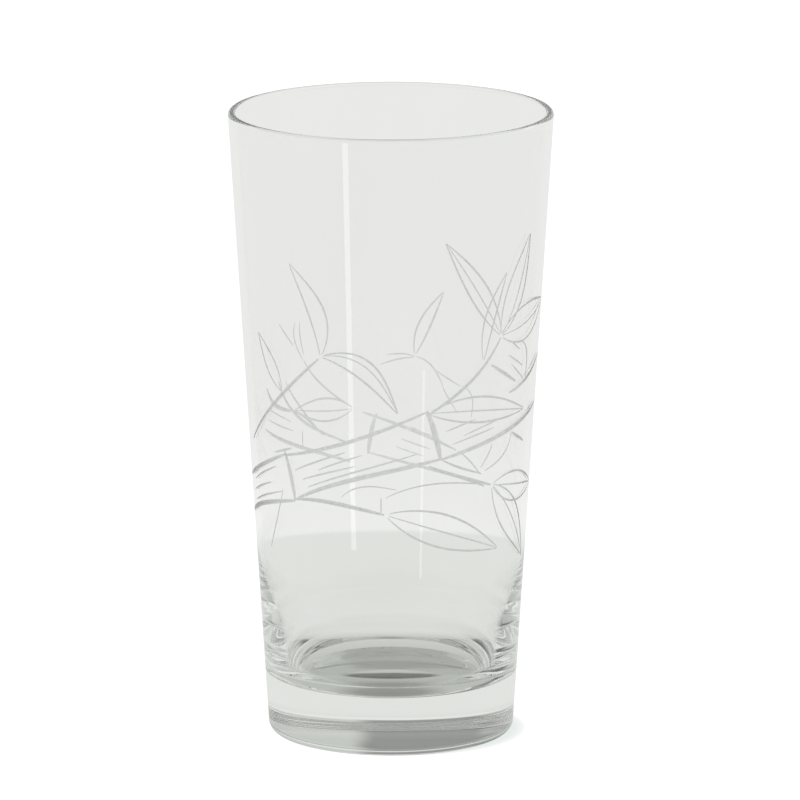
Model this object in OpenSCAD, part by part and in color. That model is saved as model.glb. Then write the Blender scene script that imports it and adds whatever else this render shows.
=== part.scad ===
// Mixing glass with wheel-cut bamboo.
// Origin: centre of the resting plane, +Z up the axis of the glass.
// Azimuth is in degrees, 0 at the front (-Y) and growing towards +X.
// Units are millimetres and degrees.

/* [Glass] */
// Outside diameter across the rim
rim_d = 82; // [78:0.5:90]
// Overall height
glass_h = 160; // [155:1:175]
// Diameter at which the line of the outer wall meets the resting plane
foot_d = 61.8; // [60:0.2:66]
// Thickness of the wall at the rounded rim
rim_wall = 2; // [1.6:0.1:2.6]
// Height at which the inner wall starts to thicken towards the base
waist_h = 40; // [38:0.5:44]
// Thickness of the wall at that height
waist_wall = 1.4; // [1.2:0.1:1.8]
// Radius of the bend of the inner wall there, in section
ease_r = 110; // [60:5:130]

/* [Base] */
// Solid glass below the lowest point of the inside
sham = 12.8; // [11:0.1:13.4]
// Height at which the inner wall turns into the rounded corner
corner_h = 20.5; // [20:0.5:23]
// Thickness of the wall at that height
corner_wall = 4.3; // [3.5:0.1:4.8]
// Radius of the rounded corner inside
corner_r = 8; // [6.5:0.1:8.3]
// Radius of the rounded heel
heel_r = 3; // [2:0.5:5]
// Width of the flat ring that the glass stands on
ring_w = 3; // [2:0.5:5]
// Height of the shallow hollow under the base
kick = 1; // [0.5:0.1:2]

/* [Engraving] */
// Depth of the cuts below the outer wall
cut_depth = 0.3; // [0.2:0.05:0.5]
// Thickness of the matte skin on the floor of the cuts
skin_t = 0.1; // [0.05:0.01:0.15]
// Factor on the width of every cut
cut_gain = 1; // [0.7:0.1:1.5]
// Height by which the whole pattern is moved up
pattern_lift = 0; // [-5:1:10]

/* [Hidden] */

lathe_fn = 128;
// Straight pieces along each side of a stroke
steps = 8;
// Share of a stroke's length that stays uncut at each end
stroke_gap = 0.03;
// Each stroke's prism starts this far inside the wall and ends this far outside
reach = 6;
// Width of a stroke at its ends, as a share of its full width
tip_share = 0.25;
// Below 1, the bow of a stroke is deepest before its middle
bow_skew = 0.8;
// Widths of the strokes that draw a leaf's edge and its rib
leaf_edge_w = 0.55;
leaf_rib_w = 0.4;
// The engraving lies between these heights of the wall
band_low = 30;
band_high = 150;

// Section of the glass, drawn as [radius, height]
rim_r = rim_d / 2;
lip_r = rim_wall / 2;
lip_z = glass_h - lip_r;
foot_r = foot_d / 2;
wall_slope = (rim_r - foot_r) / lip_z;
wall_tilt = atan(wall_slope);
heel_c = foot_r + wall_slope * heel_r - heel_r / cos(wall_tilt);
ring_in = heel_c - ring_w;
kick_r = (ring_in * ring_in + kick * kick) / (2 * kick);

function wall_r(z) = foot_r + wall_slope * z;

// The inside: a straight upper wall, a long bend, a straight lower wall, a rounded
// corner and a dished floor, each meeting the next without a kink
waist = [wall_r(waist_h) - waist_wall, waist_h];
corner = [wall_r(corner_h) - corner_wall, corner_h];
upper_tilt = atan((rim_r - rim_wall - waist[0]) / (lip_z - waist_h));
lower_tilt = atan((waist[0] - corner[0]) / (waist_h - corner_h));
ease_l = ease_r * tan((lower_tilt - upper_tilt) / 2);
ease_top = waist + ease_l * [sin(upper_tilt), cos(upper_tilt)];
ease_low = waist - ease_l * [sin(lower_tilt), cos(lower_tilt)];
ease_c = ease_top + ease_r * [-cos(upper_tilt), sin(upper_tilt)];
corner_c = corner + corner_r * [-cos(lower_tilt), sin(lower_tilt)];
drop = sham - corner_c[1];
floor_r = (pow(corner_r, 2) - pow(corner_c[0], 2) - pow(drop, 2)) / (2 * (drop + corner_r));
floor_c = [0, sham + floor_r];
join = floor_c + floor_r * (corner_c - floor_c) / norm(corner_c - floor_c);

module outer_section() {
    tangent = [heel_c + heel_r * cos(wall_tilt), heel_r - heel_r * sin(wall_tilt)];
    polygon([[0, 0], [heel_c, 0], [heel_c, heel_r], tangent, [rim_r, lip_z], [0, lip_z]]);
    translate([heel_c, heel_r]) circle(heel_r);
}

// What a round stretch from p to q adds outside the straight line between them
module bulge(centre, radius, p, q) {
    middle = (p + q) / 2;
    out = radius * (middle - centre) / norm(middle - centre);
    intersection() {
        translate(centre) circle(radius);
        polygon([p, p + out, q + out, q]);
    }
}

module hollow_section() {
    polygon([[0, sham], join, corner, ease_low, ease_top, [rim_r - rim_wall, lip_z],
        [rim_r - rim_wall, glass_h + 1], [0, glass_h + 1]]);
    bulge(ease_c, ease_r, ease_top, ease_low);
    bulge(corner_c, corner_r, corner, join);
    bulge(floor_c, floor_r, join, [0, sham]);
}

module glass_section() {
    difference() {
        outer_section();
        hollow_section();
        translate([0, kick - kick_r]) circle(kick_r);
    }
    translate([rim_r - lip_r, lip_z]) circle(lip_r);
}

// The layer of the wall between two depths below its outer face
module wall_layer(outer_depth, inner_depth) {
    tall = band_high - band_low;
    difference() {
        translate([0, 0, band_low])
            cylinder(h = tall, r1 = wall_r(band_low) - outer_depth, r2 = wall_r(band_high) - outer_depth,
                $fn = lathe_fn);
        translate([0, 0, band_low - 1])
            cylinder(h = tall + 2, r1 = wall_r(band_low - 1) - inner_depth,
                r2 = wall_r(band_high + 1) - inner_depth, $fn = lathe_fn);
    }
}

// A stroke runs from one [azimuth, height] to another. Its bow is how far its
// middle swings to the left of the straight line, in millimetres.
function mm_per_deg(p, q) = wall_r((p[1] + q[1]) / 2) * PI / 180;
function left_of(d) = [-d[1], d[0]] / norm(d);

function stroke_point(p, q, bow, t) =
    let (k = mm_per_deg(p, q), d = [(q[0] - p[0]) * k, q[1] - p[1]],
        m = t * d + bow * sin(180 * pow(t, bow_skew)) * left_of(d))
    [p[0] + m[0] / k, p[1] + m[1]];

// A cut is narrow where the wheel enters and leaves the glass
function stroke_width(w, t) = cut_gain * w * (tip_share + (1 - tip_share) * sqrt(sin(180 * t)));

function stroke_side(p, q, bow, w, t, side) =
    let (k = mm_per_deg(p, q), here = stroke_point(p, q, bow, t),
        step = stroke_point(p, q, bow, t + 0.01) - stroke_point(p, q, bow, t - 0.01),
        n = left_of([step[0] * k, step[1]]), half = side * stroke_width(w, t) / 2)
    [here[0] + n[0] * half / k, here[1] + n[1] * half];

function flat(point, azimuth) =
    [wall_r(point[1]) * sin(point[0] - azimuth), point[1] + pattern_lift];

module stroke(p, q, bow, w) {
    azimuth = stroke_point(p, q, bow, 0.5)[0];
    low_r = wall_r(min(p[1], q[1]));
    high_r = wall_r(max(p[1], q[1]));
    shares = [for (i = [0 : steps]) stroke_gap + (1 - 2 * stroke_gap) * i / steps];
    left = [for (t = shares) flat(stroke_side(p, q, bow, w, t, 1), azimuth)];
    right = [for (t = shares) flat(stroke_side(p, q, bow, w, t, -1), azimuth)];
    back = [for (i = [steps : -1 : 0]) right[i]];
    rotate([0, 0, azimuth]) rotate([90, 0, 0])
        translate([0, 0, low_r - reach])
            linear_extrude(height = high_r - low_r + 2 * reach)
                polygon(concat(left, back));
}

module strokes(list) {
    for (s = list) stroke(s[0], s[1], s[2], s[3]);
}

// A leaf is its two edges and, if rib is a number, the rib between them
module leaf(base, tip, left, right, rib) {
    stroke(base, tip, left, leaf_edge_w);
    stroke(base, tip, right, leaf_edge_w);
    if (is_num(rib)) stroke(base, tip, rib, leaf_rib_w);
}

// Strokes of the cane: [start, end, bow, width]
front_cane = [
    // upper edge
    [[-86, 67], [-47, 77], -0.1, 1.1],
    [[-49.5, 76.4], [15, 90.2], -1.2, 1],
    [[53, 92], [84, 99], -0.8, 1],
    // lower edge
    [[-88, 57], [-42.5, 65.3], 1.1, 1.2],
    [[-44, 65], [22, 77.8], 1.8, 1.2],
    [[19, 77.2], [84, 86.5], 0.1, 1.2],
    // joints
    [[-48, 77.5], [-43, 65], 0.4, 1.3],
    [[14, 90.5], [20.5, 77], 0.4, 1.5],
];
front_shading = [
    [[-76, 67], [-54, 73], 0.2, 0.45],
    [[-78, 64], [-58, 68.5], 0.2, 0.45],
    [[-77, 61.5], [-50, 67], 0.3, 0.45],
    [[-43, 73], [-18, 79.5], 0.2, 0.5],
    [[-31, 74], [-11, 79], 0.2, 0.45],
    [[-39, 71], [-14, 76], 0.2, 0.45],
    [[-37, 69], [12, 79.5], 0.6, 0.5],
    [[22, 84.5], [36, 87], 0.1, 0.45],
    [[30, 83], [49, 86], 0.2, 0.45],
    [[25, 81], [46, 84], 0.2, 0.45],
];
back_cane = [
    // upper edge
    [[236, 87], [197.5, 67.2], 3.7, 0.8],
    [[246.5, 86], [228, 77.8], 1.9, 1.2],
    [[193, 75.5], [149.7, 66], 0.1, 0.9],
    // lower edge
    [[252, 76], [196.7, 62.4], 0.8, 1],
    [[190.5, 65], [133, 58], 0.9, 0.8],
    // joint
    [[186, 75], [190, 64.3], 0.4, 1.2],
];
back_shading = [
    [[246, 80.3], [228, 75], 0, 0.4],
    [[247, 77.8], [226.7, 72.5], 0.2, 0.4],
    [[242, 68.7], [228.4, 68.3], 0.1, 0.7],
    [[176, 68.3], [162.5, 65.8], 0.1, 0.4],
    [[178, 66.2], [165.5, 63.9], 0.1, 0.4],
    [[172, 71.5], [158, 68.3], 0.1, 0.4],
];

// Stems and twigs: [start, end, bow, width]
front_stems = [
    [[-28, 103.5], [-76, 77], 0.2, 0.9],
    [[47, 107.5], [14.5, 89], 1.9, 0.9],
    [[-43, 65.5], [-2, 63.5], 1.4, 1.1],
    [[20.5, 77.5], [40, 72.5], -0.4, 0.6],
    [[15, 76], [46, 69], -0.3, 0.9],
    [[-3, 67.5], [46, 69], 3.1, 0.4],
    [[42, 100.5], [58, 94.5], 0, 0.9],
    [[57, 81.5], [68, 78], 0, 0.8],
    [[57, 82], [41, 73], 2.2, 0.45],
    [[45, 80], [39, 74], 0.4, 0.45],
    [[-50, 68], [-62, 51], 0.4, 0.4],
    [[-4, 68], [-4, 64], 0, 0.4],
    [[-21, 67.3], [3, 70], 2.3, 0.35],
    [[53, 105.5], [60, 102.5], 0, 0.45],
    [[52, 102], [63, 98], 0, 0.45],
    [[54, 99.5], [64, 94.5], 0, 0.45],
    [[58, 105], [66, 94.5], 3, 0.45],
];
back_stems = [
    [[231, 86], [210, 69.8], 0.6, 0.5],
    [[228.5, 78], [211.5, 70.6], -1, 0.6],
    [[223, 100.6], [219.6, 90.3], 1.6, 0.4],
    [[220.6, 100.4], [219.2, 91.5], 0.5, 0.4],
    [[219.5, 90.5], [196.5, 76.5], 1.3, 0.5],
    [[233.5, 101], [224.7, 94.3], 0, 0.4],
    [[221.6, 72.3], [221.8, 68.2], 0, 0.4],
    [[170, 89.6], [182, 90], 0.5, 0.4],
    [[170, 89.4], [185, 87.4], 0.4, 0.4],
    [[170, 89.6], [157.5, 82.3], -1.5, 0.45],
    [[160.7, 86.3], [149.3, 82.8], 0.2, 0.4],
    [[158, 82.6], [150.3, 75.8], 0.3, 0.4],
    [[149.5, 83], [143.4, 75], -2.4, 0.4],
    [[150, 66], [136.7, 60.8], -0.5, 0.5],
];

module front_leaves() {
    leaf([-28, 103.5], [-41, 127], -0.9, -5.6, undef);
    leaf([-28, 103.5], [3, 89.5], 7, 2, 5.3);
    leaf([-48, 93], [-62, 107], 1.8, -2.2, undef);
    leaf([47, 107.5], [20, 133.5], 2.4, -3, 0);
    leaf([47, 107.5], [63, 132.5], 3, -4, -1.7);
    leaf([47, 107.5], [84, 113], 4, -5, -0.8);
    leaf([15, 89.5], [67, 86.5], 4.4, -2.2, 0.8);
    leaf([-2, 63.5], [52, 52], 4.6, -3.8, 0.2);
    leaf([46, 69], [76, 47], 4.2, -3.8, 0.9);
    leaf([46, 69], [84, 65.5], 3.4, -4.2, 0);
}

module back_leaves() {
    leaf([196.3, 76.4], [226, 77.8], 2.6, -3.3, -0.7);
    leaf([170, 90], [158, 107], 0.5, -2.6, undef);
    leaf([137.6, 90], [125.5, 114.6], -0.2, -3.5, undef);
}

module cane_cuts() {
    strokes(front_cane);
    strokes(front_shading);
    strokes(back_cane);
    strokes(back_shading);
}

module leaf_cuts() {
    strokes(front_stems);
    strokes(back_stems);
    front_leaves();
    back_leaves();
}

// The open groove that a set of cuts leaves in the wall
module grooves() {
    intersection() {
        union() {
            cane_cuts();
            leaf_cuts();
        }
        wall_layer(-0.5, cut_depth);
    }
}

// The matte skin on the floor of the cuts
module matte_skin() {
    intersection() {
        union() children();
        wall_layer(cut_depth - skin_t, cut_depth);
    }
}

module glass_body() {
    color([0.88, 0.92, 0.91, 0.45])
        difference() {
            rotate_extrude($fn = lathe_fn) glass_section();
            grooves();
        }
}

module cane_engraving() {
    color([0.60, 0.63, 0.62]) matte_skin() cane_cuts();
}

module leaf_engraving() {
    color([0.66, 0.69, 0.68]) matte_skin() leaf_cuts();
}

glass_body();
cane_engraving();
leaf_engraving();
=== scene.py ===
"""Mixing glass of clear glass with wheel-cut bamboo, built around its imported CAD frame.

Lengths are metres. Azimuths are degrees, 0 at the front (-Y) and growing towards +X.
"""

import math

import bmesh
import bpy
import numpy as np
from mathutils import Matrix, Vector, geometry


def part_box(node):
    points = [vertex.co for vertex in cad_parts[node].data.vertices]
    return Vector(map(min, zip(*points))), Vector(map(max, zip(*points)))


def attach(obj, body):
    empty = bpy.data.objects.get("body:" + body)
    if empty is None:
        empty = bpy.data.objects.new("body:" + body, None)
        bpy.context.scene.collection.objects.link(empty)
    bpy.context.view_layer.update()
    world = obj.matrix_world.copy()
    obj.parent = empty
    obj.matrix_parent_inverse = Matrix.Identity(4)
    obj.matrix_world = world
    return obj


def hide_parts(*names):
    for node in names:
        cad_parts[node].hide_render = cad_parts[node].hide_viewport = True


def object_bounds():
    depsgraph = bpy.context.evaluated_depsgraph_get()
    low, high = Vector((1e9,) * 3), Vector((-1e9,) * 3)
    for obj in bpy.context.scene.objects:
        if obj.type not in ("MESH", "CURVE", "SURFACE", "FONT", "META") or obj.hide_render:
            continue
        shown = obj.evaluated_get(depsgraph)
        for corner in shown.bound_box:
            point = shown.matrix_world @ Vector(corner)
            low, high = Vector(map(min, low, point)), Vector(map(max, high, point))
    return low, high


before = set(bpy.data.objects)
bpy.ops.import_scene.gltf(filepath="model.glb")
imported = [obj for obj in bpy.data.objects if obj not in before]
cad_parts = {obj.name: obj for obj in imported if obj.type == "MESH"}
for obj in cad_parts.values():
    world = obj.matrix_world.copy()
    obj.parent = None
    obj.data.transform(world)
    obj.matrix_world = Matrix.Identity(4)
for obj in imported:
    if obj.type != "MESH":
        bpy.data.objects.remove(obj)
cad_low, cad_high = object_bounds()
MM = 0.001

# ---------------------------------------------------------------- the glass in section
body_low, body_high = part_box("glass_body")
HEIGHT = body_high.z - body_low.z
RIM_R = body_high.x
RIM_WALL = 2.0 * MM
FOOT_R = 30.9 * MM
WAIST_Z = 40 * MM
WAIST_WALL = 1.4 * MM
EASE_R = 110 * MM
CORNER_Z = 20.5 * MM
CORNER_WALL = 4.3 * MM
CORNER_R = 8 * MM
SHAM = 12.8 * MM
HEEL_R = 3 * MM
RING_W = 3 * MM
KICK = 1 * MM

LIP_R = RIM_WALL / 2
LIP_Z = HEIGHT - LIP_R
WALL_SLOPE = (RIM_R - FOOT_R) / LIP_Z
WALL_TILT = math.atan(WALL_SLOPE)

# The glass has this many facets round, and each round stretch of its section has one point each so
# many degrees
FACETS = 360
HEEL_STEP = 4
CORNER_STEP = 3
LIP_STEP = 12
FLOOR_STEP = 1
EASE_STEP = 0.5
UNDER_STEP = 0.25
# How many points lie between the ends of the straight stretches
RING_POINTS = 3
OUTER_WALL_POINTS = (20, 8)
INNER_WALL_POINTS = (30, 8)


def wall_r(z):
    """Radius of the outer wall at height z."""
    return FOOT_R + WALL_SLOPE * z


def arc(centre, radius, start, end, step):
    """Points [r, z] along an arc between two angles in degrees."""
    count = max(2, math.ceil(abs(end - start) / step))
    angles = np.radians(np.linspace(start, end, count + 1))
    return np.stack([centre[0] + radius * np.cos(angles), centre[1] + radius * np.sin(angles)], 1)


def line(start, end, count):
    """Points [r, z] along a straight line, both ends left out."""
    shares = np.linspace(0, 1, count + 2)[1:-1, None]
    return np.array(start) * (1 - shares) + np.array(end) * shares


def base_section():
    """From the middle of the underside out to the top of the heel."""
    tilt = math.degrees(WALL_TILT)
    heel_r = FOOT_R + WALL_SLOPE * HEEL_R - HEEL_R / math.cos(WALL_TILT)
    ring_in = heel_r - RING_W
    kick_r = (ring_in**2 + KICK**2) / (2 * KICK)
    kick_end = 90 - math.degrees(math.asin(ring_in / kick_r))
    under = arc((0, KICK - kick_r), kick_r, 90, kick_end, UNDER_STEP)
    ring = line((ring_in, 0), (heel_r, 0), RING_POINTS)
    heel = arc((heel_r, HEEL_R), HEEL_R, -90, -tilt, HEEL_STEP)
    return np.concatenate([under, ring, heel])


def inner_section():
    """From the rim's inner edge down the wall to the corner and over the dished floor."""
    top = np.array((RIM_R - RIM_WALL, LIP_Z))
    waist = np.array((wall_r(WAIST_Z) - WAIST_WALL, WAIST_Z))
    corner = np.array((wall_r(CORNER_Z) - CORNER_WALL, CORNER_Z))
    upper_tilt = math.atan2(top[0] - waist[0], top[1] - waist[1])
    lower_tilt = math.atan2(waist[0] - corner[0], waist[1] - corner[1])
    ease = EASE_R * math.tan((lower_tilt - upper_tilt) / 2)
    ease_top = waist + ease * np.array((math.sin(upper_tilt), math.cos(upper_tilt)))
    ease_low = waist - ease * np.array((math.sin(lower_tilt), math.cos(lower_tilt)))
    ease_c = ease_top + EASE_R * np.array((-math.cos(upper_tilt), math.sin(upper_tilt)))
    corner_c = corner + CORNER_R * np.array((-math.cos(lower_tilt), math.sin(lower_tilt)))
    drop = SHAM - corner_c[1]
    floor_r = (CORNER_R**2 - corner_c[0] ** 2 - drop**2) / (2 * (drop + CORNER_R))
    floor_z = SHAM + floor_r
    join = math.degrees(math.atan2(corner_c[1] - floor_z, corner_c[0]))
    wall = line(top, ease_top, INNER_WALL_POINTS[0])
    blend = arc(ease_c, EASE_R, -math.degrees(upper_tilt), -math.degrees(lower_tilt), EASE_STEP)
    low_wall = line(ease_low, corner, INNER_WALL_POINTS[1])
    round_corner = arc(corner_c, CORNER_R, -math.degrees(lower_tilt), join, CORNER_STEP)
    floor = arc((0, floor_z), floor_r, join, -90, FLOOR_STEP)[1:]
    return np.concatenate([wall, blend, low_wall, round_corner, floor])


def lip_section():
    """Over the rounded rim, from the outside to the inside."""
    return arc((RIM_R - LIP_R, LIP_Z), LIP_R, 0, 180, LIP_STEP)


# ---------------------------------------------------------------- the engraving
# A stroke is [start, end, bow, width]: its ends as [azimuth, height in mm], how far its middle
# swings to the left of the straight line, and how wide the wheel cut it, both in mm.
FRONT_CANE = [
    # upper edge
    [(-86, 67), (-47, 77), -0.1, 1.1],
    [(-49.5, 76.4), (15, 90.2), -1.2, 1],
    [(53, 92), (84, 99), -0.8, 1],
    # lower edge
    [(-88, 57), (-42.5, 65.3), 1.1, 1.2],
    [(-44, 65), (22, 77.8), 1.8, 1.2],
    [(19, 77.2), (84, 86.5), 0.1, 1.2],
    # joints
    [(-48, 77.5), (-43, 65), 0.4, 1.3],
    [(14, 90.5), (20.5, 77), 0.4, 1.5],
]
FRONT_SHADING = [
    [(-76, 67), (-54, 73), 0.2, 0.45],
    [(-78, 64), (-58, 68.5), 0.2, 0.45],
    [(-77, 61.5), (-50, 67), 0.3, 0.45],
    [(-43, 73), (-18, 79.5), 0.2, 0.5],
    [(-31, 74), (-11, 79), 0.2, 0.45],
    [(-39, 71), (-14, 76), 0.2, 0.45],
    [(-37, 69), (12, 79.5), 0.6, 0.5],
    [(22, 84.5), (36, 87), 0.1, 0.45],
    [(30, 83), (49, 86), 0.2, 0.45],
    [(25, 81), (46, 84), 0.2, 0.45],
]
BACK_CANE = [
    # upper edge
    [(236, 87), (197.5, 67.2), 3.7, 0.8],
    [(246.5, 86), (228, 77.8), 1.9, 1.2],
    [(193, 75.5), (149.7, 66), 0.1, 0.9],
    # lower edge
    [(252, 76), (196.7, 62.4), 0.8, 1],
    [(190.5, 65), (133, 58), 0.9, 0.8],
    # joint
    [(186, 75), (190, 64.3), 0.4, 1.2],
]
BACK_SHADING = [
    [(246, 80.3), (228, 75), 0, 0.4],
    [(247, 77.8), (226.7, 72.5), 0.2, 0.4],
    [(242, 68.7), (228.4, 68.3), 0.1, 0.7],
    [(176, 68.3), (162.5, 65.8), 0.1, 0.4],
    [(178, 66.2), (165.5, 63.9), 0.1, 0.4],
    [(172, 71.5), (158, 68.3), 0.1, 0.4],
]
FRONT_STEMS = [
    [(-28, 103.5), (-76, 77), 0.2, 0.9],
    [(47, 107.5), (14.5, 89), 1.9, 0.9],
    [(-43, 65.5), (-2, 63.5), 1.4, 1.1],
    [(20.5, 77.5), (40, 72.5), -0.4, 0.6],
    [(15, 76), (46, 69), -0.3, 0.9],
    [(-3, 67.5), (46, 69), 3.1, 0.4],
    [(42, 100.5), (58, 94.5), 0, 0.9],
    [(57, 81.5), (68, 78), 0, 0.8],
    [(57, 82), (41, 73), 2.2, 0.45],
    [(45, 80), (39, 74), 0.4, 0.45],
    [(-50, 68), (-62, 51), 0.4, 0.4],
    [(-4, 68), (-4, 64), 0, 0.4],
    [(-21, 67.3), (3, 70), 2.3, 0.35],
    [(53, 105.5), (60, 102.5), 0, 0.45],
    [(52, 102), (63, 98), 0, 0.45],
    [(54, 99.5), (64, 94.5), 0, 0.45],
    [(58, 105), (66, 94.5), 3, 0.45],
]
BACK_STEMS = [
    [(231, 86), (210, 69.8), 0.6, 0.5],
    [(228.5, 78), (211.5, 70.6), -1, 0.6],
    [(223, 100.6), (219.6, 90.3), 1.6, 0.4],
    [(220.6, 100.4), (219.2, 91.5), 0.5, 0.4],
    [(219.5, 90.5), (196.5, 76.5), 1.3, 0.5],
    [(233.5, 101), (224.7, 94.3), 0, 0.4],
    [(221.6, 72.3), (221.8, 68.2), 0, 0.4],
    [(170, 89.6), (182, 90), 0.5, 0.4],
    [(170, 89.4), (185, 87.4), 0.4, 0.4],
    [(170, 89.6), (157.5, 82.3), -1.5, 0.45],
    [(160.7, 86.3), (149.3, 82.8), 0.2, 0.4],
    [(158, 82.6), (150.3, 75.8), 0.3, 0.4],
    [(149.5, 83), (143.4, 75), -2.4, 0.4],
    [(150, 66), (136.7, 60.8), -0.5, 0.5],
]
# A leaf is [base, tip, left bow, right bow, bow of the vein or None]
LEAVES = [
    [(-28, 103.5), (-41, 127), -0.9, -5.6, None],
    [(-28, 103.5), (3, 89.5), 7, 2, 5.3],
    [(-48, 93), (-62, 107), 1.8, -2.2, None],
    [(47, 107.5), (20, 133.5), 2.4, -3, 0],
    [(47, 107.5), (63, 132.5), 3, -4, -1.7],
    [(47, 107.5), (84, 113), 4, -5, -0.8],
    [(15, 89.5), (67, 86.5), 4.4, -2.2, 0.8],
    [(-2, 63.5), (52, 52), 4.6, -3.8, 0.2],
    [(46, 69), (76, 47), 4.2, -3.8, 0.9],
    [(46, 69), (84, 65.5), 3.4, -4.2, 0],
    [(196.3, 76.4), (226, 77.8), 2.6, -3.3, -0.7],
    [(170, 90), (158, 107), 0.5, -2.6, None],
    [(137.6, 90), (125.5, 114.6), -0.2, -3.5, None],
]
LEAF_EDGE_W = 0.55
LEAF_RIB_W = 0.4
# Share of a stroke's length left uncut at each end, its width at the ends as a share of the full
# width, and a power below 1 that puts the deepest point of its bow before its middle
STROKE_GAP = 0.02
TIP_SHARE = 0.25
BOW_SKEW = 0.8
# Depth of a cut for its width, and the deepest cut of all
CUT_SLOPE = 0.1
CUT_DEEPEST = 0.12 * MM
# The engraved band of the wall, with a seam where no stroke crosses it
BAND_LOW = 40 * MM
BAND_HIGH = 140 * MM
BAND_SEAM = -94
BAND_ROWS = 66
# Length of the straight pieces of a stroke, and how many it has at least
STROKE_STEP = 0.9 * MM
FEWEST_STEPS = 6
# Points nearer than this become one, in metres and, on the unrolled wall, in millimetres
WELD = 1e-6
UNROLLED_WELD = 1e-4
# Room in degrees and metres round a stroke, and a depth that counts as no cut
STROKE_ROOM = 0.001
NO_DEPTH = 1e-6


def leaf_strokes(leaf):
    """The two edges of a leaf, and its rib if it has one."""
    base, tip, left, right, rib = leaf
    edges = [[base, tip, left, LEAF_EDGE_W], [base, tip, right, LEAF_EDGE_W]]
    if rib is None:
        return edges
    return edges + [[base, tip, rib, LEAF_RIB_W]]


class Stroke:
    """One cut of the wheel, as a middle line and a half width, on the unrolled wall."""

    def __init__(self, start, end, bow, width):
        self.scale = wall_r((start[1] + end[1]) / 2 * MM) * math.pi / 180
        a = np.array([start[0] * self.scale, start[1] * MM])
        b = np.array([end[0] * self.scale, end[1] * MM])
        length = float(np.linalg.norm(b - a))
        count = max(FEWEST_STEPS, round(length / STROKE_STEP))
        t = np.linspace(STROKE_GAP, 1 - STROKE_GAP, count + 1)
        along = (b - a) / length
        left = np.array([-along[1], along[0]])
        swing = bow * MM * np.sin(math.pi * t**BOW_SKEW)
        self.middle = a + t[:, None] * (b - a) + swing[:, None] * left
        self.half = width * MM / 2 * (TIP_SHARE + (1 - TIP_SHARE) * np.sqrt(np.sin(math.pi * t)))
        self.depth = np.minimum(CUT_DEEPEST, CUT_SLOPE * 2 * self.half)
        tangent = np.gradient(self.middle, axis=0)
        tangent /= np.linalg.norm(tangent, axis=1)[:, None]
        self.side = np.stack([-tangent[:, 1], tangent[:, 0]], 1)

    def to_band(self, points):
        """Own unrolled coordinates to (azimuth, height)."""
        return np.stack([points[:, 0] / self.scale, points[:, 1]], 1)

    def outline(self):
        """The closed outline of the cut, as (azimuth, height)."""
        left = self.middle + self.side * self.half[:, None]
        right = self.middle - self.side * self.half[:, None]
        return self.to_band(np.concatenate([left, right[::-1]]))

    def spine(self):
        """The bottom line of the cut, as (azimuth, height)."""
        return self.to_band(self.middle)

    def depth_at(self, points):
        """How deep this cut is at each (azimuth, height)."""
        own = np.stack([points[:, 0] * self.scale, points[:, 1]], 1)
        best = np.zeros(len(own))
        for i in range(len(self.middle) - 1):
            a, b = self.middle[i], self.middle[i + 1]
            span = b - a
            t = np.clip((own - a) @ span / (span @ span), 0, 1)
            away = np.linalg.norm(own - a - t[:, None] * span, axis=1)
            half = self.half[i] * (1 - t) + self.half[i + 1] * t
            depth = self.depth[i] * (1 - t) + self.depth[i + 1] * t
            best = np.maximum(best, depth * (1 - away / half))
        return best


def all_strokes():
    """Every stroke with the number of its material: 1 for the cane, 2 for stems and leaves."""
    cane = FRONT_CANE + FRONT_SHADING + BACK_CANE + BACK_SHADING
    fine = FRONT_STEMS + BACK_STEMS + [s for leaf in LEAVES for s in leaf_strokes(leaf)]
    return [(Stroke(*s), 1) for s in cane] + [(Stroke(*s), 2) for s in fine]


def engraved_band(strokes):
    """The engraved part of the wall, as (points, faces, material of each face)."""
    cols = np.arange(FACETS + 1) * 360 / FACETS + BAND_SEAM
    rows = np.linspace(BAND_LOW, BAND_HIGH, BAND_ROWS + 1)
    unroll = wall_r((BAND_LOW + BAND_HIGH) / 2) * math.pi / 180
    points = [(a, z) for z in rows for a in cols]
    wide = FACETS + 1
    edges = []
    for row in (0, BAND_ROWS):
        edges += [(row * wide + i, row * wide + i + 1) for i in range(FACETS)]
    for col in (0, FACETS):
        edges += [(i * wide + col, (i + 1) * wide + col) for i in range(BAND_ROWS)]
    for stroke, _ in strokes:
        for path, closed in ((stroke.outline(), True), (stroke.spine(), False)):
            first = len(points)
            points += [tuple(p) for p in path]
            edges += [(first + i, first + i + 1) for i in range(len(path) - 1)]
            if closed:
                edges.append((first + len(path) - 1, first))
    flat = [Vector((a * unroll / MM, z / MM)) for a, z in points]
    verts, _, faces, _, _, _ = geometry.delaunay_2d_cdt(flat, edges, [], 0, UNROLLED_WELD, False)
    band = np.array([(v.x * MM / unroll, v.y * MM) for v in verts])
    faces = np.array(faces)
    depth = np.zeros(len(band))
    middles = band[faces].mean(1)
    middle_depth = np.zeros(len(faces))
    material = np.zeros(len(faces), int)
    for stroke, number in strokes:
        low = stroke.outline().min(0) - STROKE_ROOM
        high = stroke.outline().max(0) + STROKE_ROOM
        near = np.flatnonzero(((band > low) & (band < high)).all(1))
        depth[near] = np.maximum(depth[near], stroke.depth_at(band[near]))
        near = np.flatnonzero(((middles > low) & (middles < high)).all(1))
        cut = stroke.depth_at(middles[near])
        deeper = cut > np.maximum(middle_depth[near], NO_DEPTH)
        middle_depth[near[deeper]] = cut[deeper]
        material[near[deeper]] = number
    angle = np.radians(band[:, 0])
    radius = wall_r(band[:, 1]) - depth / math.cos(WALL_TILT)
    solid = np.stack([radius * np.sin(angle), -radius * np.cos(angle), band[:, 1]], 1)
    return solid, faces, material


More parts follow.
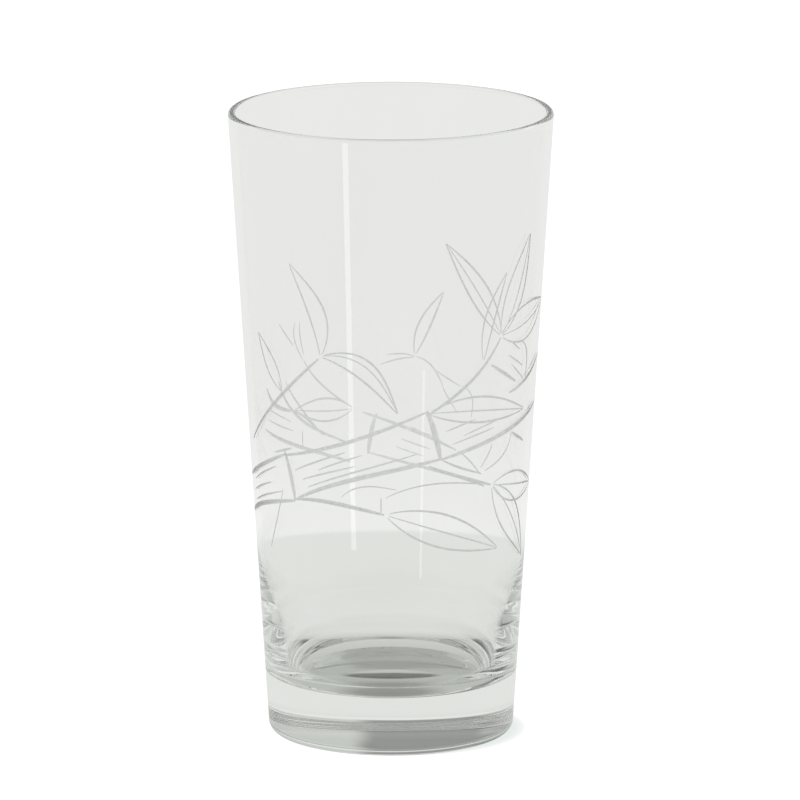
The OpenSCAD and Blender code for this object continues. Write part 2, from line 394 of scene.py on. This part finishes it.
def revolve(pairs):
    """A ring around the axis for each pair [r, z], which may be a point or a direction."""
    angles = np.radians(np.arange(FACETS) * 360 / FACETS + BAND_SEAM)
    rings = [np.stack([r * np.sin(angles), -r * np.cos(angles), np.full(FACETS, z)], 1) for r, z in pairs]
    return np.concatenate(rings)


def ring_faces(rings, first=0):
    """Quads between neighbouring rings."""
    faces = []
    for k in range(rings - 1):
        a = first + k * FACETS
        b = a + FACETS
        for i in range(FACETS):
            j = (i + 1) % FACETS
            faces.append((a + i, a + j, b + j, b + i))
    return faces


def fan_faces(centre, first, turn):
    """Triangles from a point on the axis to a ring."""
    faces = []
    for i in range(FACETS):
        j = (i + 1) % FACETS
        faces.append((centre, first + j, first + i) if turn else (centre, first + i, first + j))
    return faces


def section_normals(section):
    """Outward direction [r, z] of the glass at each point of the section, which runs from the
    underside over the rim to the inside."""
    step = np.gradient(section, axis=0)
    step /= np.linalg.norm(step, axis=1)[:, None]
    return np.stack([step[:, 1], -step[:, 0]], 1)


def build_glass():
    """The whole glass as one closed mesh, with the cuts as real grooves."""
    low_edge = (wall_r(BAND_LOW), BAND_LOW)
    high_edge = (wall_r(BAND_HIGH), BAND_HIGH)
    base = base_section()[1:]
    foot_wall = line(base[-1], low_edge, OUTER_WALL_POINTS[0])
    rim_wall = line(high_edge, (RIM_R, LIP_Z), OUTER_WALL_POINTS[1])
    below = np.concatenate([base, foot_wall, [low_edge]])
    above = np.concatenate([[high_edge], rim_wall, lip_section(), inner_section()[:-1]])
    lower, upper = revolve(below), revolve(above)
    band, band_faces, band_material = engraved_band(all_strokes())
    n_low, n_up = len(lower), len(upper)
    poles = np.array([[0, 0, KICK], [0, 0, SHAM]])
    points = np.concatenate([lower, upper, poles, band])
    faces = ring_faces(len(below)) + ring_faces(len(above), n_low)
    faces += fan_faces(n_low + n_up, 0, True)
    faces += fan_faces(n_low + n_up + 1, n_low + n_up - FACETS, False)
    smooth_count = len(faces)
    faces += [tuple(int(i) + n_low + n_up + 2 for i in f) for f in band_faces]
    band_normals = np.zeros((len(band), 3))
    reach = np.linalg.norm(band[:, :2], axis=1)[:, None]
    band_normals[:, :2] = band[:, :2] / reach * math.cos(WALL_TILT)
    band_normals[:, 2] = -math.sin(WALL_TILT)
    rings = [revolve(section_normals(below)), revolve(section_normals(above))]
    pole_normals = [[0, 0, -1], [0, 0, 1]]
    normals = np.concatenate([*rings, pole_normals, band_normals])
    mesh = bpy.data.meshes.new("mixing_glass")
    mesh.from_pydata([tuple(p) for p in points], [], faces)
    materials = np.concatenate([np.zeros(smooth_count, int), band_material])
    mesh.polygons.foreach_set("material_index", materials.astype(np.int32))
    kept = mesh.attributes.new("outward", "FLOAT_VECTOR", "POINT")
    kept.data.foreach_set("vector", normals.astype(np.float32).ravel())
    weld = bmesh.new()
    weld.from_mesh(mesh)
    bmesh.ops.remove_doubles(weld, verts=weld.verts, dist=WELD)
    weld.to_mesh(mesh)
    weld.free()
    shade(mesh)
    glass = bpy.data.objects.new("mixing_glass", mesh)
    bpy.context.scene.collection.objects.link(glass)
    return glass


def shade(mesh):
    """Exact smooth normals on the polished glass, plain facets in the cuts."""
    mesh.polygons.foreach_set("use_smooth", [True] * len(mesh.polygons))
    count = len(mesh.loops)
    outward = np.zeros(len(mesh.vertices) * 3, np.float32)
    mesh.attributes["outward"].data.foreach_get("vector", outward)
    outward = outward.reshape(-1, 3)
    vertex = np.zeros(count, np.int32)
    mesh.loops.foreach_get("vertex_index", vertex)
    starts = np.zeros(len(mesh.polygons), np.int32)
    totals = np.zeros(len(mesh.polygons), np.int32)
    materials = np.zeros(len(mesh.polygons), np.int32)
    face_normals = np.zeros(len(mesh.polygons) * 3, np.float32)
    mesh.polygons.foreach_get("loop_start", starts)
    mesh.polygons.foreach_get("loop_total", totals)
    mesh.polygons.foreach_get("material_index", materials)
    mesh.polygons.foreach_get("normal", face_normals)
    face = np.repeat(np.arange(len(starts)), totals)
    normals = outward[vertex]
    cut = materials[face] > 0
    normals[cut] = face_normals.reshape(-1, 3)[face[cut]]
    mesh.normals_split_custom_set(normals)
    mesh.attributes.remove(mesh.attributes["outward"])


# ---------------------------------------------------------------- materials
GLASS_IOR = 1.52


def new_material(name):
    material = bpy.data.materials.new(name)
    material.use_nodes = True
    nodes, links = material.node_tree.nodes, material.node_tree.links
    return material, nodes, links, nodes["Principled BSDF"]


def clear_glass():
    """Polished soda-lime glass, with the faint cords and waviness of blown glass."""
    material, nodes, links, surface = new_material("clear_glass")
    surface.inputs["Transmission Weight"].default_value = 1
    surface.inputs["Roughness"].default_value = 0
    surface.inputs["IOR"].default_value = GLASS_IOR
    place = nodes.new("ShaderNodeTexCoord")
    stretch = nodes.new("ShaderNodeMapping")
    stretch.inputs["Scale"].default_value = (1, 1, 0.25)
    cords = nodes.new("ShaderNodeTexNoise")
    cords.inputs["Scale"].default_value = 60
    cords.inputs["Detail"].default_value = 2
    tint = nodes.new("ShaderNodeValToRGB")
    tint.color_ramp.elements[0].position = 0.3
    tint.color_ramp.elements[0].color = (0.968, 0.973, 0.966, 1)
    tint.color_ramp.elements[1].position = 0.7
    tint.color_ramp.elements[1].color = (0.978, 0.982, 0.976, 1)
    wave = nodes.new("ShaderNodeBump")
    wave.inputs["Strength"].default_value = 0.005
    wave.inputs["Distance"].default_value = 0.001
    links.new(place.outputs["Object"], stretch.inputs["Vector"])
    links.new(stretch.outputs["Vector"], cords.inputs["Vector"])
    links.new(cords.outputs["Fac"], tint.inputs["Fac"])
    links.new(tint.outputs["Color"], surface.inputs["Base Color"])
    links.new(cords.outputs["Fac"], wave.inputs["Height"])
    links.new(wave.outputs["Normal"], surface.inputs["Normal"])
    return material


def cut_glass(name, roughness, dark, light, grain):
    """Glass that the wheel left matte, with the wheel's grain in its colour and surface."""
    material, nodes, links, surface = new_material(name)
    surface.inputs["Transmission Weight"].default_value = 0.97
    surface.inputs["Roughness"].default_value = roughness
    surface.inputs["IOR"].default_value = GLASS_IOR
    place = nodes.new("ShaderNodeTexCoord")
    noise = nodes.new("ShaderNodeTexNoise")
    noise.inputs["Scale"].default_value = grain
    noise.inputs["Detail"].default_value = 4
    tint = nodes.new("ShaderNodeValToRGB")
    tint.color_ramp.elements[0].position = 0.35
    tint.color_ramp.elements[0].color = (*dark, 1)
    tint.color_ramp.elements[1].position = 0.65
    tint.color_ramp.elements[1].color = (*light, 1)
    bump = nodes.new("ShaderNodeBump")
    bump.inputs["Strength"].default_value = 0.5
    bump.inputs["Distance"].default_value = 0.0001
    links.new(place.outputs["Object"], noise.inputs["Vector"])
    links.new(noise.outputs["Fac"], tint.inputs["Fac"])
    links.new(tint.outputs["Color"], surface.inputs["Base Color"])
    links.new(noise.outputs["Fac"], bump.inputs["Height"])
    links.new(bump.outputs["Normal"], surface.inputs["Normal"])
    return material


# ---------------------------------------------------------------- stage
FLOOR_HALF = 40
FLOOR_DROP = 0.05 * MM
# The floor seen through the glass carries painted shade under the base. It goes by the distance in mm from
# a point in front of the axis, and has a painted dark oval of shade behind the axis.
FLOOR_REACH = 0.5
# Stops out to 58 mm are painted shade under and beside the base; farther out come the floor's own even
# tones
FLOOR_THROUGH_GLASS = [
    (0, (0.25, 0.26, 0.24)), (10, (0.28, 0.29, 0.27)),
    (18, (0.48, 0.50, 0.47)), (36, (0.50, 0.52, 0.49)),
    (52, (0.67, 0.68, 0.66)), (58, (0.77, 0.785, 0.76)),
    (233, (0.77, 0.785, 0.76)), (241, (0.90, 0.90, 0.90)),
    (300, (0.88, 0.88, 0.88)), (400, (0.84, 0.84, 0.835)),
]
# Centre of the painted shade under the base
PAINTED_SHADE_CENTRE = (0, -0.020, 0)
# A painted dark oval of shade on the floor, seen only through the base
SHADE_OVAL_CENTRE = (0, 0.0062, 0)
SHADE_OVAL_SIZE = (0.0155, 0.0052, 1)
SHADE_OVAL_EDGE = [(0, (0.02, 0.02, 0.02)), (0.75, (0.03, 0.03, 0.03)), (1, (1, 1, 1))]
# The painted dark oval of shade only shows to rays from nearly straight in front. These are the Y of their
# direction where it is gone and where it is full.
SHADE_OVAL_FACING = (-0.85, -0.92)
# The camera sees the floor itself as white, with a faint shadow a little to the right of the foot
FLOOR_TO_CAMERA = [(28.4, (0.80, 0.85, 0.82)), (29.4, (0.90, 0.92, 0.91)), (30.2, (1.1, 1.1, 1.1))]
SHADOW_CENTRE = (0.004, 0.002, 0)
# The room by azimuth and half width, then [height in degrees, brightness]. The first entry is all
# round. One part of the room blends into the next over SKY_BLEND degrees to either side.
SKY_TINT = (0.965, 1, 0.95)
SKY_BLEND = 5
SKY = [
    (0, 180, [(3, 0.85), (9, 0.45), (16, 0.42), (22, 0.10),
              (34, 0.08), (38, 0.40), (64, 0.43), (70, 0.35)]),
    (-166, 22, [(5, 0.85), (9, 0.32), (22, 0.29), (30, 0.24), (48, 0.30), (64, 0.43), (70, 0.35)]),
    (120, 50, [(5, 0.85), (10, 0.64), (35, 0.55), (42, 0.68), (64, 0.43), (70, 0.35)]),
]
# Light has to bounce this often to get out of the rim and the foot
BOUNCES = 200
# The camera's lens in mm, the point it looks at, its distance from there in metres, and its height
# in degrees above the horizontal
LENS = 455
AIM = (0.0023, 0, 0.0855)
AWAY = 2.557
PITCH = 12.11


def ramp_node(nodes, stops):
    """A ramp through (position, (red, green, blue)) stops."""
    ramp = nodes.new("ShaderNodeValToRGB")
    while len(ramp.color_ramp.elements) < len(stops):
        ramp.color_ramp.elements.new(0.5)
    for element, (position, color) in zip(ramp.color_ramp.elements, stops):
        element.position = position
        element.color = (*color, 1)
    return ramp


def distance_ramp(nodes, links, place, centre, size, stops, unit=1):
    """A ramp by the distance from a centre. The whole ramp is size long, and its stops are in unit."""
    away = nodes.new("ShaderNodeVectorMath")
    away.operation = "SUBTRACT"
    away.inputs[1].default_value = centre
    share = nodes.new("ShaderNodeVectorMath")
    share.operation = "DIVIDE"
    share.inputs[1].default_value = size if isinstance(size, tuple) else (size, size, size)
    length = nodes.new("ShaderNodeVectorMath")
    length.operation = "LENGTH"
    whole = 1 if isinstance(size, tuple) else size
    ramp = ramp_node(nodes, [(at * unit / whole, color) for at, color in stops])
    links.new(place, away.inputs[0])
    links.new(away.outputs["Vector"], share.inputs[0])
    links.new(share.outputs["Vector"], length.inputs[0])
    links.new(length.outputs["Value"], ramp.inputs["Fac"])
    return ramp.outputs["Color"]


def white_floor():
    """A pure white sweep for the camera with a painted faint shadow right of the foot, and a slightly
    dimmer one seen through the glass with painted shade under the base.
    """
    mesh = bpy.data.meshes.new("floor")
    corners = [(x * FLOOR_HALF, y * FLOOR_HALF, 0) for x, y in ((-1, -1), (1, -1), (1, 1), (-1, 1))]
    mesh.from_pydata(corners, [], [(0, 1, 2, 3)])
    floor = bpy.data.objects.new("floor", mesh)
    floor.location.z = cad_low.z - FLOOR_DROP
    bpy.context.scene.collection.objects.link(floor)
    material, nodes, links, surface = new_material("floor")
    nodes.remove(surface)
    glow = nodes.new("ShaderNodeEmission")
    point = nodes.new("ShaderNodeNewGeometry")
    place = point.outputs["Position"]
    # Painted shade under and beside the base, for rays through the glass
    painted_shade_ramp = distance_ramp(nodes, links, place, PAINTED_SHADE_CENTRE, FLOOR_REACH, FLOOR_THROUGH_GLASS, MM)
    # Painted dark oval of shade behind the axis
    shade_oval = distance_ramp(nodes, links, place, SHADE_OVAL_CENTRE, SHADE_OVAL_SIZE, SHADE_OVAL_EDGE)
    bright = distance_ramp(nodes, links, place, SHADOW_CENTRE, FLOOR_REACH, FLOOR_TO_CAMERA, MM)
    seen = nodes.new("ShaderNodeMix")
    seen.data_type = "RGBA"
    seen.blend_type = "MULTIPLY"
    toward = nodes.new("ShaderNodeSeparateXYZ")
    square = nodes.new("ShaderNodeMapRange")
    square.inputs["From Min"].default_value = SHADE_OVAL_FACING[0]
    square.inputs["From Max"].default_value = SHADE_OVAL_FACING[1]
    links.new(point.outputs["Incoming"], toward.inputs["Vector"])
    links.new(toward.outputs["Y"], square.inputs["Value"])
    links.new(square.outputs["Result"], seen.inputs[0])
    links.new(painted_shade_ramp, seen.inputs[6])
    links.new(shade_oval, seen.inputs[7])
    path = nodes.new("ShaderNodeLightPath")
    chosen = nodes.new("ShaderNodeMix")
    chosen.data_type = "RGBA"
    links.new(path.outputs["Is Camera Ray"], chosen.inputs[0])
    links.new(seen.outputs[2], chosen.inputs[6])
    links.new(bright, chosen.inputs[7])
    links.new(chosen.outputs[2], glow.inputs["Color"])
    links.new(glow.outputs["Emission"], nodes["Material Output"].inputs["Surface"])
    mesh.materials.append(material)


def sky():
    """A room with a bright horizon and a dark band above it, brighter on the right."""
    world = bpy.data.worlds.new("sky")
    world.use_nodes = True
    bpy.context.scene.world = world
    nodes, links = world.node_tree.nodes, world.node_tree.links
    place = nodes.new("ShaderNodeTexCoord")
    split = nodes.new("ShaderNodeSeparateXYZ")
    links.new(place.outputs["Generated"], split.inputs["Vector"])
    level = nodes.new("ShaderNodeCombineXYZ")
    links.new(split.outputs["X"], level.inputs["X"])
    links.new(split.outputs["Y"], level.inputs["Y"])
    flat = nodes.new("ShaderNodeVectorMath")
    flat.operation = "NORMALIZE"
    links.new(level.outputs["Vector"], flat.inputs[0])
    shade = None
    for azimuth, half_width, stops in SKY:
        ramp = ramp_node(nodes, [(math.sin(math.radians(h)), [g * t for t in SKY_TINT]) for h, g in stops])
        links.new(split.outputs["Z"], ramp.inputs["Fac"])
        if shade is None:
            shade = ramp.outputs["Color"]
            continue
        facing = nodes.new("ShaderNodeVectorMath")
        facing.operation = "DOT_PRODUCT"
        turn = math.radians(azimuth)
        facing.inputs[1].default_value = (math.sin(turn), -math.cos(turn), 0)
        links.new(flat.outputs["Vector"], facing.inputs[0])
        inside = nodes.new("ShaderNodeMapRange")
        inside.interpolation_type = "SMOOTHSTEP"
        inside.inputs["From Min"].default_value = math.cos(math.radians(half_width + SKY_BLEND))
        inside.inputs["From Max"].default_value = math.cos(math.radians(half_width - SKY_BLEND))
        links.new(facing.outputs["Value"], inside.inputs["Value"])
        chosen = nodes.new("ShaderNodeMix")
        chosen.data_type = "RGBA"
        links.new(inside.outputs["Result"], chosen.inputs[0])
        links.new(shade, chosen.inputs[6])
        links.new(ramp.outputs["Color"], chosen.inputs[7])
        shade = chosen.outputs[2]
    path = nodes.new("ShaderNodeLightPath")
    seen = nodes.new("ShaderNodeMix")
    seen.data_type = "RGBA"
    links.new(path.outputs["Is Camera Ray"], seen.inputs[0])
    links.new(shade, seen.inputs[6])
    seen.inputs[7].default_value = (1, 1, 1, 1)
    links.new(seen.outputs[2], nodes["Background"].inputs["Color"])
    nodes["Background"].inputs["Strength"].default_value = 1


def strip_light(name, azimuth, away, low, high, width, strength):
    """A narrow upright strip beside the glass that only shows as a reflection."""
    mesh = bpy.data.meshes.new(name)
    half = width / 2
    corners = [(-half, 0, low), (half, 0, low), (half, 0, high), (-half, 0, high)]
    mesh.from_pydata(corners, [], [(0, 1, 2, 3)])
    strip = bpy.data.objects.new(name, mesh)
    turn = math.radians(azimuth)
    strip.location = (away * math.sin(turn), -away * math.cos(turn), cad_low.z)
    strip.rotation_euler.z = turn
    for hidden in ("camera", "diffuse", "transmission", "shadow", "volume_scatter"):
        setattr(strip, "visible_" + hidden, False)
    bpy.context.scene.collection.objects.link(strip)
    material, nodes, links, surface = new_material(name)
    surface.inputs["Base Color"].default_value = (0, 0, 0, 1)
    surface.inputs["Emission Color"].default_value = (1, 1, 1, 1)
    surface.inputs["Emission Strength"].default_value = strength
    mesh.materials.append(material)


def camera():
    data = bpy.data.cameras.new("camera")
    data.sensor_width = 36
    data.lens = LENS
    data.clip_start = 0.1
    data.clip_end = 200
    cam = bpy.data.objects.new("camera", data)
    bpy.context.scene.collection.objects.link(cam)
    tilt = math.radians(PITCH)
    back = Vector((0, -math.cos(tilt), math.sin(tilt)))
    cam.location = Vector(AIM) + back * AWAY
    cam.rotation_mode = "QUATERNION"
    cam.rotation_quaternion = (-back).to_track_quat("-Z", "Y")
    bpy.context.scene.camera = cam


glass = build_glass()
glass.data.materials.append(clear_glass())
glass.data.materials.append(cut_glass("matte_cut_glass", 0.4, (0.58, 0.59, 0.58), (0.74, 0.75, 0.74), 900))
glass.data.materials.append(cut_glass("fine_cut_glass", 0.35, (0.50, 0.51, 0.50), (0.66, 0.67, 0.66), 1400))
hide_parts("glass_body", "cane_engraving", "leaf_engraving")
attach(glass, "root")

white_floor()
sky()
strip_light("left_strip", azimuth=-28.5, away=0.155, low=0.010, high=0.130, width=0.010, strength=3)
strip_light("right_strip", azimuth=23, away=0.155, low=0.002, high=0.060, width=0.005, strength=2.5)
camera()
scene = bpy.context.scene
scene.view_settings.view_transform = "Standard"
scene.cycles.max_bounces = BOUNCES
scene.cycles.transmission_bounces = BOUNCES
scene.cycles.glossy_bounces = BOUNCES
